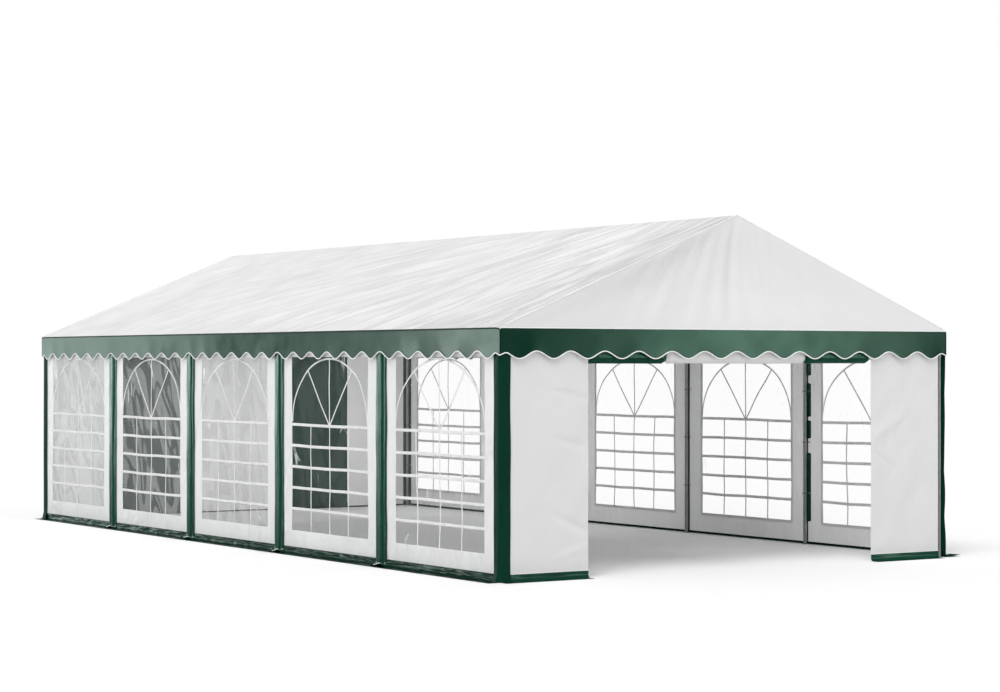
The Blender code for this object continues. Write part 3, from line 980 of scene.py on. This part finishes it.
def hang_gable(face, made):
    """The upright triangle of one gable, with the cord along its two slopes."""
    place = FACES[face]
    height = RIDGE - 0.002 - VALANCE_TOP
    half = height / math.tan(SLOPE)
    gathered = 1.9 * height

    def fan(turn, rise):
        """Fold coordinates: the folds lean towards a point above the ridge."""
        return rise, turn * (1.0 - rise / height) * gathered / (gathered - rise)

    def point(turn, rise):
        width = turn * (1.0 - rise / height)
        across = fan(turn, rise)[1]
        folds = wobble(across * 3.8, rise * 0.8, 2.0) + 0.5 * wobble(across * 8.0, rise * 1.1, 9.0)
        near = 1.0 - abs(turn) / half
        free = fade(near, 0.0, 0.12) * fade(rise, 0.0, 0.15) * fade(height - rise, 0.0, 0.2)
        middle = 0.25 + 0.75 * bump(width, 0.45, 0.8)
        belly = fade(near, 0.0, 0.5 if turn > 0.0 else 1.0) * fade(rise, 0.0, 0.4)
        belly *= 0.036 * fade(height - rise, 0.0, 0.5)
        return place(width, OVERHANG + 0.001 + 0.016 * free * middle * folds - belly, VALANCE_TOP + rise)

    sheet = add_cloth(
        f"gable_cloth_{face}", lines([-half, half], 0.036), lines([0.0, 0.996 * height], 0.03), point,
        made["gable cloth"], [f"gable_sheet_{face}"], folds=fan,
    )
    steps = 40
    rakes = [
        place(half * step / steps, OVERHANG + 0.001, VALANCE_TOP + height * (1.0 - abs(step) / steps) + 0.003)
        for step in range(1 - steps, steps)
    ]
    welt = add_cord(f"rake_welt_{face}", made["white welt"], 0.0042, [rakes], sides=8)


class MARQUEE_OT_roof(bpy.types.Operator):
    """Lay the roof cloth over the frame and hang the upright gable cloths"""

    bl_idname = "marquee.roof"
    bl_label = "Roof"

    def execute(self, context):
        made = finishes()
        step, inner = 0.042, ROOF_HALF_LENGTH - 0.26
        columns = lines([-ROOF_HALF_LENGTH, -inner], FINE_STEP)
        columns += lines([-inner, inner], step)[1:] + lines([inner, ROOF_HALF_LENGTH], FINE_STEP)[1:]
        rows = lines([-ROOF_SLOPE_LENGTH, -0.06, -0.012, 0.0, 0.012, 0.06, ROOF_SLOPE_LENGTH], step)
        canopy = add_cloth(
            "roof_canopy", columns, rows, roof_point, made["roof cloth"],
            ["roof_sheet_left", "roof_sheet_right"], folds=roof_folds,
        )
        for face in ("front", "back"):
            hang_gable(face, made)
        return {"FINISHED"}


# Valances

def hang_valance(face, run, scallops, seed, made, trims):
    """One valance with the white cord of its hem and the cord of its top seam."""
    place = FACES[face]
    depth = VALANCE_TOP - HEM_LOW

    def top_at(along):
        inside = min(VALANCE_ROUNDING, run / 2 - abs(along))
        rise = math.sqrt(max(0.0, VALANCE_ROUNDING ** 2 - (VALANCE_ROUNDING - inside) ** 2))
        return VALANCE_TOP - VALANCE_ROUNDING + rise

    def point(along, down):
        high = top_at(along)
        share = down / depth
        up = high + (hem_height(along, run, scallops) - high) * share
        return place(along, valance_out(along, share, run, seed), up)

    columns_each = 14
    columns = lines([-run / 2, run / 2], run / (scallops * columns_each))
    cloth = add_cloth(
        f"valance_cloth_{face}", columns, lines([0.0, depth], 0.034), point, made["valance cloth"],
        [f"valance_{face}"], turned=True,
    )
    hem = [point(along, depth) for along in columns]
    cord = add_cord(f"hem_cord_{face}", made["white welt"], trims.welt_radius, [hem])
    colour = SEAM_COLOURS[face]
    radius, inset, raised = (0.007, 0.004, -0.003) if colour == "green" else (0.005, 0.012, 0.002)
    seam = [
        place(along, OVERHANG - 0.001, top_at(along) + raised)
        for along in lines([-run / 2 + inset, run / 2 - inset], 0.05)
    ]
    top = add_cord(f"seam_cord_{face}", made[f"{colour} welt"], radius, [seam])


class MARQUEE_OT_valances(bpy.types.Operator):
    """Hang the scalloped valance on all four sides, with a cord along its hem"""

    bl_idname = "marquee.valances"
    bl_label = "Valances"

    def execute(self, context):
        side_run = 2 * (ROOF_HALF_LENGTH - 0.0043)
        gable_run = 2 * ROOF_HALF_WIDTH
        for number, face in enumerate(FACES):
            run, scallops = (side_run, 30) if face in LONG_SIDES else (gable_run, 14)
            hang_valance(face, run, scallops, 4.0 * number, finishes(), context.scene.marquee_trims)
        return {"FINISHED"}


# Window walls

def bar_pattern(windows, made):
    """The bars of one window, flat about its middle line, as two meshes of level and upright bars."""
    half = BAY / 2 - WINDOW_MARGIN
    edge, low = half + 0.01, WINDOW_LOW - 0.01
    levels = [windows.top_bar - windows.bar_step * count for count in range(LEVEL_BARS)]
    level_paths = [[(-edge, 0.0, up), (edge, 0.0, up)] for up in levels]
    uprights = [[(side * half / 2, 0.0, low), (side * half / 2, 0.0, levels[0])] for side in (-1.0, 1.0)]
    middle = [(0.0, 0.0, low), (0.0, 0.0, windows.arch_top)]
    spring = windows.top_bar + 0.03
    rise = windows.arch_top - spring
    steps = 48
    turns = [math.pi * step / steps for step in range(steps + 1)]
    arch = [(half * math.cos(turn), 0.0, spring + rise * math.sin(turn)) for turn in turns]
    spread = 0.425
    reach = spring + rise * math.sqrt(1.0 - (spread / half) ** 2)
    rays = [[(0.0, 0.0, levels[0]), (side * spread, 0.0, reach)] for side in (-1.0, 1.0)]
    return [
        grow("window_bars", paths, bar_tree(), {
            "Width": width, "Flatness": BAR_THICKNESS / width, "Spacing": 0.04, "Material": made["bar tape"],
        })
        for paths, width in (
            (level_paths, windows.bar_width), ([*uprights, middle, arch, *rays], windows.post_width),
        )
    ]


def hang_window_wall(face, count, pattern, made):
    """One wall cloth, its film and its bars. The walls of a side are counted from the front."""
    place = FACES[face]
    low = -HALF_LENGTH + BAY * (count - 1 if face == "left" else BAYS - count)
    ends = sorted(corner.y if face == "left" else -corner.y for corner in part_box(f"side_wall_{face}_{count}"))
    hole = (low + WINDOW_MARGIN, low + BAY - WINDOW_MARGIN, WINDOW_LOW, WINDOW_HIGH)
    seed = count * 1.7 + (20.0 if face == "right" else 0.0)

    def wall_point(along, up):
        beside = min(abs(along - hole[0]), abs(along - hole[1]))
        sway = 0.011 * wobble(up * 2.3, along, seed + 8.0) * (1.0 - fade(beside, 0.0, 0.12))
        sway += edge_gap(face, count, up, True) * (1.0 - fade(along - ends[0], 0.0, WALL_EDGE))
        sway -= edge_gap(face, count, up, False) * (1.0 - fade(ends[1] - along, 0.0, WALL_EDGE))
        return place(along + sway, wall_out(face, along, up, seed), up)

    def film_out(along, up):
        inside = fade(min(along - hole[0], hole[1] - along), 0.0, 0.25)
        inside *= fade(min(up - hole[2], hole[3] - up), 0.0, 0.25)
        waves = wobble(along * 2.4, up * 1.1, seed + 2.0) + 0.5 * wobble(along * 6.0 + up, up * 1.7, seed)
        return wall_out(face, along, up, seed) - 0.0018 + 0.009 * inside * waves

    marks = {WALL_HEM, hole[2], hole[3], WALL_HIGH}
    if face == "right" and count == 1:
        marks.update(tab + step for span in TAB_HEIGHTS for tab in span for step in (-0.004, 0.004))
    wall = add_cloth(
        f"wall_cloth_{face}_{count}", lines([ends[0], hole[0], hole[1], ends[1]], CLOTH_STEP),
        lines(sorted(mark for mark in marks if mark >= WALL_HEM), CLOTH_STEP), wall_point,
        made["side cloth"], [f"side_wall_{face}_{count}"], hole=hole,
    )
    # The far windows of the left side get the stronger painted reflection
    kinds = {3: "hazy film", 4: "hazy film", 5: "milky film"} if face == "left" else {}
    film = add_cloth(
        f"film_{face}_{count}", lines([hole[0] - FILM_LAP, hole[1] + FILM_LAP], CLOTH_STEP),
        lines([hole[2] - FILM_LAP, hole[3] + FILM_LAP], CLOTH_STEP),
        lambda along, up: place(along, film_out(along, up), up), made[kinds.get(count, "clear film")],
        [f"window_film_{face}"] if count == 1 else [], thickness=0.0,
        folds=lambda along, up: (up + 0.4 * along, along - 0.35 * up + 3.0 * count),
    )
    for kind, flat in zip(("level", "upright"), pattern):
        mesh = flat.copy()
        for vertex in mesh.vertices:
            along, up = low + BAY / 2 + vertex.co.x, vertex.co.z
            sway = 0.013 * wobble(along * 2.1, up * 2.6, seed + 6.0)
            drop = 0.007 * wobble(along * 2.4, up * 1.3, seed + 7.0)
            vertex.co = place(along + sway, film_out(along, up) + BAR_THICKNESS + vertex.co.y, up + drop)
        add_piece(f"window_bars_{kind}_{face}_{count}", mesh, made["bar tape"])


class MARQUEE_OT_window_walls(bpy.types.Operator):
    """Hang the ten window walls of the long sides, with their clear film and white bars"""

    bl_idname = "marquee.window_walls"
    bl_label = "Window walls"

    def execute(self, context):
        made = finishes()
        pattern = bar_pattern(context.scene.marquee_windows, made)
        for face in LONG_SIDES:
            for count in range(1, BAYS + 1):
                hang_window_wall(face, count, pattern, made)
        return {"FINISHED"}


# Gable walls and doors

def hang_width(node, face, finish, seed):
    """One plain width of cloth."""
    low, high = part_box(node)
    ends = (low.x, high.x) if face == "back" else (-high.x, -low.x)
    corner = 0.015 if node == "back_wall_right" else 0.0
    lap = 0.06 if node == "back_door_right" else 0.0
    size = FINE_STEP if node in TUGS else CLOTH_STEP

    def point(along, up):
        gap = corner * (1.0 - fade(ends[1] - along, 0.0, WALL_EDGE))
        out = wall_out(face, along, up, seed) + tugs(node, abs(abs(along) - DOOR_HALF), up)
        out -= 0.003 * fade(along - ends[1], -0.04, 0.0) if lap else 0.0
        return FACES[face](along - gap, out, up)

    cloth = add_cloth(
        f"{node}_cloth", lines([ends[0], ends[1] + lap], size), lines([WALL_LOW, WALL_HIGH], size), point,
        finish, [node],
    )


class MARQUEE_OT_gable_walls(bpy.types.Operator):
    """Hang the fixed wall beside each corner and the closed door of the back gable"""

    bl_idname = "marquee.gable_walls"
    bl_label = "Gable walls"

    def execute(self, context):
        made = finishes()
        for node, face, colour, seed in (
            ("front_wall_left", "front", "white", 50.0), ("front_wall_right", "front", "white", 53.0),
            ("back_wall_left", "back", "white", 62.0), ("back_wall_right", "back", "white", 62.0),
            ("back_door_left", "back", "green", 62.0), ("back_door_middle", "back", "white", 62.0),
            ("back_door_right", "back", "green", 62.0),
        ):
            finish = made["wall cloth" if colour == "white" else "dark trim cloth"]
            hang_width(node, face, finish, seed)
        return {"FINISHED"}


def roll_width(name, start, end, finish, seed):
    """One width of the front door: it hangs from the bar, then winds inward on itself."""
    outer, inner, turns = 0.056, 0.012, 8.5
    edge, middle_step = 0.035, 0.06
    centre = Vector((-HALF_LENGTH + 0.0595, 1.898))
    head = WALL_HIGH - centre.y
    pitch = (outer - inner) / turns
    wound = math.pi * (outer + inner) * turns

    def point(across, place):
        end_gap = min(across - start, end - across)
        snug = 1.0 - 0.30 * (1.0 - fade(end_gap, 0.0, edge))
        sag = 0.004 * wobble(across * 1.2, 0.0, seed) + 0.0015 * wobble(across * 5.0, 0.0, seed + 2.0)
        if place <= head:
            share = place / head
            return (across, centre.x - outer * snug * share - 0.035 * (1.0 - share),
                    WALL_HIGH - place + sag * share)
        angle = (place - head) / wound * turns * 2.0 * math.pi
        radius = (outer - pitch * angle / (2.0 * math.pi)) * snug
        radius *= 1.0 + 0.03 * wobble(across * 3.0, angle * 0.5, seed + 4.0)
        return (across, centre.x - radius * math.cos(angle), centre.y - radius * math.sin(angle) + sag)

    head_rows, wound_rows = 6, 190
    rows = [head * step / head_rows for step in range(head_rows)]
    rows += [head + wound * step / wound_rows for step in range(wound_rows + 1)]
    near = (0.0, 0.008, 0.018)
    columns = [start + gap for gap in near]
    columns += lines([start + edge, end - edge], middle_step)
    columns += [end - gap for gap in reversed(near)]
    cloth = add_cloth(
        f"rolled_door_{name}", columns, rows, point, finish,
        ["front_door_rolled"] if name == "middle" else [], thickness=ROLLED_THICKNESS,
    )


class MARQUEE_OT_rolled_door(bpy.types.Operator):
    """Roll up the three widths of the front door under the gable bar"""

    bl_idname = "marquee.rolled_door"
    bl_label = "Rolled door"

    def execute(self, context):
        made = finishes()
        low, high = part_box("front_door_rolled")
        roll_width("left", low.x, -0.752, made["trim cloth"], 70.0)
        roll_width("middle", -0.748, 0.828, made["wall cloth"], 75.0)
        roll_width("right", 0.832, high.x, made["trim cloth"], 80.0)
        return {"FINISHED"}


# Strips and flaps

def hang_strip(name, face, post, trims, made):
    """A strip over one post, pillowed over it, with its foot turned out on the ground."""
    half = trims.strip_width / 2
    reach = 0.62 * trims.flap_reach
    length = turned_length(STRIP_TOP, FOOT_BEND, reach)
    seed = 100.0 + post * 3.0
    front = -1.0 if face == "left" else 1.0

    def point(across, down):
        share = across / half
        out, up = foot(down, reach, seed, post + 0.6 * across)
        wave = wobble(down * 2.6, share * 0.4, seed) * 0.008 + wobble(down * 7.0, share * 0.5, seed) * 0.003
        groove = 0.5 + 0.25 * wobble(down * 1.1, 0.0, seed + 6.0)
        pillow = 0.014 * (1.0 - share * share) + 0.004 - 0.008 * bump(share, -groove, 0.16)
        folds = 0.004 * wobble(share * 2.2, down * 0.9, seed + 1.0)
        stand = fade(STRIP_TOP - down, 0.0, 0.05)
        curl = 0.016 * fade(front * share, -0.2, 1.0) * fade(down, length - 0.05, length)
        along = post + across * (1.0 + 0.07 * wobble(down * 1.7, 0.0, seed + 3.0)) + wave
        return FACES[face](along, 0.0015 + out + (pillow + folds) * stand, up + (1.0 - stand) * 0.004 + curl)

    columns = lines([-half, half], 0.008)
    strip = add_cloth(
        name, columns, lines([0.0, STRIP_STRAIGHT, length], 0.03), point, made["trim cloth"],
        turned=True,
    )
    hem = [point(across, length) for across in columns if -front * across < 0.03]
    edge = add_cord(f"{name}_hem", made["white welt"], 0.004, [hem])


def hang_corner(before, after, name, made):
    """A strip that wraps round a corner post, from the start of one face to the end of the next."""
    name = f"green_strip_corner_{name}"
    half, length = 0.10, 2.077
    seed = 130.0 + len(name)
    ends = {"left": HALF_LENGTH, "right": HALF_LENGTH, "front": HALF_WIDTH, "back": HALF_WIDTH}

    def point(across, down):
        up = STRIP_TOP - down
        side = abs(across)
        wave = 0.007 * wobble(up * 2.2, 0.5, seed) * side / half
        folds = 0.001 + 0.011 * fade(side, 0.0, 0.02) * (1.0 - 0.6 * fade(side, 0.05, 0.1))
        folds += 0.003 * abs(wobble(across * 16.0, up * 0.8, seed + 2.0))
        flare = 0.020 * (1.0 - fade(up, 0.0, 0.09))
        face, sign = (before, -1.0) if across < 0.0 else (after, 1.0)
        return FACES[face](sign * (ends[face] - side + folds + wave), folds + flare, up)

    strip = add_cloth(
        name, lines([-half, -0.02, 0.0, 0.02, half], 0.01), lines([0.0, length], CLOTH_STEP), point,
        made["dark trim cloth"],
    )


def hang_free_strip(made):
    """The right front strip, which hangs free beside its post with its foot trailing outward."""
    reach, width, edge = 0.19, 0.118, 4.897
    length = turned_length(STRIP_TOP, FOOT_BEND, reach)

    def point(across, down):
        out, up = foot(down, reach, 160.0, 1.0)
        loose = fade(across, 0.0, 0.12)
        wave = 0.020 * wobble(up * 2.2, 0.3, 160.0) * loose
        bow = 0.030 * wobble(up * 1.6, across * 4.0, 163.0) * loose
        return FACES["right"](edge + across + wave, 0.004 + out + abs(bow), up + 0.002)

    strip = add_cloth(
        "green_strip_free_front_right", lines([0.0, width], 0.012),
        lines([0.0, STRIP_STRAIGHT, length], 0.03), point, made["dark trim cloth"],
        turned=True,
    )


def lay_flap(name, face, start, end, seed, trims, made):
    """The flap at the foot of a wall: down it, round a soft bend and out on the ground."""
    node = f"green_trim_{name}"
    name = f"green_flap_{name}"
    at_front = face == "front"
    down = FLAP_TOP - FLAP_BEND
    length = turned_length(FLAP_TOP, FLAP_BEND, 0.095 if at_front else trims.flap_reach)

    def point(along, run):
        crumple = wobble(along * 2.6, run * 14.0, seed) + 0.6 * wobble(along * 6.0, run * 24.0, seed + 1.0)
        crumple = abs(crumple) * (0.3 if at_front else 1.0)
        out, up = turned_path(FLAP_TOP, FLAP_BEND, run)
        out += 0.002 + 0.007 * crumple * fade(run, 0.0, 0.02)
        return FACES[face](along, out, up + 0.0012 + 0.008 * crumple * fade(run, down, down + 0.04))

    flap = add_cloth(
        name, lines([start, end], FINE_STEP), lines([0.0, down, length], 0.01), point,
        made["trim cloth" if at_front else "flap cloth"], [node],
        folds=lambda along, run: (along, run + 0.03 * along), turned=True,
    )
    colour = SEAM_COLOURS[face]
    seam = [FACES[face](along, 0.0045, FLAP_TOP + 0.001) for along in lines([start, end], 0.25)]
    edge = add_cord(f"{name}_seam", made[f"{colour} welt"], 0.0035, [seam])


class MARQUEE_OT_trims(bpy.types.Operator):
    """Hang the green strips over posts and corners and lay out the ground flaps"""

    bl_idname = "marquee.trims"
    bl_label = "Strips and flaps"

    def execute(self, context):
        made = finishes()
        trims = context.scene.marquee_trims
        for number, (name, face, start, end) in enumerate((
            ("left", "left", -HALF_LENGTH, HALF_LENGTH), ("right", "right", -HALF_LENGTH, HALF_LENGTH),
            ("back", "back", -HALF_WIDTH, HALF_WIDTH), ("front_left", "front", DOOR_HALF, HALF_WIDTH),
            ("front_right", "front", -PANEL_END, -DOOR_HALF),
        )):
            lay_flap(name, face, start, end, 180.0 + 4.0 * number, trims, made)
        for face in LONG_SIDES:
            for number, post in enumerate(post_places(face)[1:-1], start=1):
                count = number + 1 if face == "left" else BAYS + 1 - number
                hang_strip(f"green_strip_{face}_{count}", face, post, trims, made)
        hang_corner("left", "front", "front_left", made)
        hang_corner("back", "left", "back_left", made)
        hang_corner("right", "back", "back_right", made)
        hang_free_strip(made)
        return {"FINISHED"}


# Ties

class MARQUEE_OT_ties(bpy.types.Operator):
    """Tie the wall cloths to the posts with short cords through eyelets"""

    bl_idname = "marquee.ties"
    bl_label = "Post ties"

    def execute(self, context):
        made = finishes()
        reach, steps = 0.047, 16
        for face in LONG_SIDES:
            place = FACES[face]
            loops, eyelets = [], []
            for post in post_places(face):
                inward = [side for side in (-1.0, 1.0) if abs(post + 0.08 * side) < POST_Y]
                first, last = (side / 2 if side in inward else 0.0 for side in (-1.0, 1.0))
                turns = [math.pi * (first + (last - first) * step / steps) for step in range(steps + 1)]
                for up in TIE_HEIGHTS:
                    loops.append([
                        place(post + reach * math.sin(turn), -0.012 - 0.036 * math.cos(turn) ** 2, up)
                        for turn in turns
                    ])
                    eyelets += [[place(post + side * reach, -0.005, up)] for side in inward]
            add_cord(f"post_ties_{face}", made["tie cord"], 0.0035, loops)
            rings = grow("eyelets", eyelets, ring_tree(), {
                "Ring Radius": 0.008, "Cord Radius": 0.0022, "Turn": Euler((0.0, math.pi / 2, 0.0)),
                "Material": made["zinc tube"],
            })
            add_piece(f"eyelets_{face}", rings, made["zinc tube"])
        return {"FINISHED"}


class MARQUEE_PT_panel(bpy.types.Panel):
    """The tent's settings and steps"""

    bl_idname = "MARQUEE_PT_panel"
    bl_label = "Marquee tent"
    bl_space_type = "VIEW_3D"
    bl_region_type = "UI"
    bl_category = "Marquee"

    def draw(self, context):
        for settings in SETTINGS:
            group = getattr(context.scene, settings)
            box = self.layout.box()
            for name in group.__annotations__:
                box.prop(group, name)
        for operator in OPERATORS:
            self.layout.operator(operator.bl_idname)


OPERATORS = (
    MARQUEE_OT_studio,
    MARQUEE_OT_tubes,
    MARQUEE_OT_roof,
    MARQUEE_OT_valances,
    MARQUEE_OT_window_walls,
    MARQUEE_OT_gable_walls,
    MARQUEE_OT_rolled_door,
    MARQUEE_OT_trims,
    MARQUEE_OT_ties,
)
SETTINGS = {
    "marquee_cloth": MarqueeCloth,
    "marquee_windows": MarqueeWindows,
    "marquee_trims": MarqueeTrims,
    "marquee_stage": MarqueeStage,
}


def register():
    """Register the settings, the operators and the panel."""
    for name, group in SETTINGS.items():
        bpy.utils.register_class(group)
        setattr(bpy.types.Scene, name, PointerProperty(type=group))
    for item in (*OPERATORS, MARQUEE_PT_panel):
        bpy.utils.register_class(item)


def unregister():
    """Take the panel, the operators and the settings away again."""
    for item in reversed((*OPERATORS, MARQUEE_PT_panel)):
        bpy.utils.unregister_class(item)
    for name, group in reversed(SETTINGS.items()):
        delattr(bpy.types.Scene, name)
        bpy.utils.unregister_class(group)


def main():
    """Build the whole tent."""
    register()
    bpy.ops.marquee.studio()
    bpy.ops.marquee.tubes()
    bpy.ops.marquee.roof()
    bpy.ops.marquee.valances()
    bpy.ops.marquee.window_walls()
    bpy.ops.marquee.gable_walls()
    bpy.ops.marquee.rolled_door()
    bpy.ops.marquee.trims()
    bpy.ops.marquee.ties()


if __name__ == "__main__":
    main()
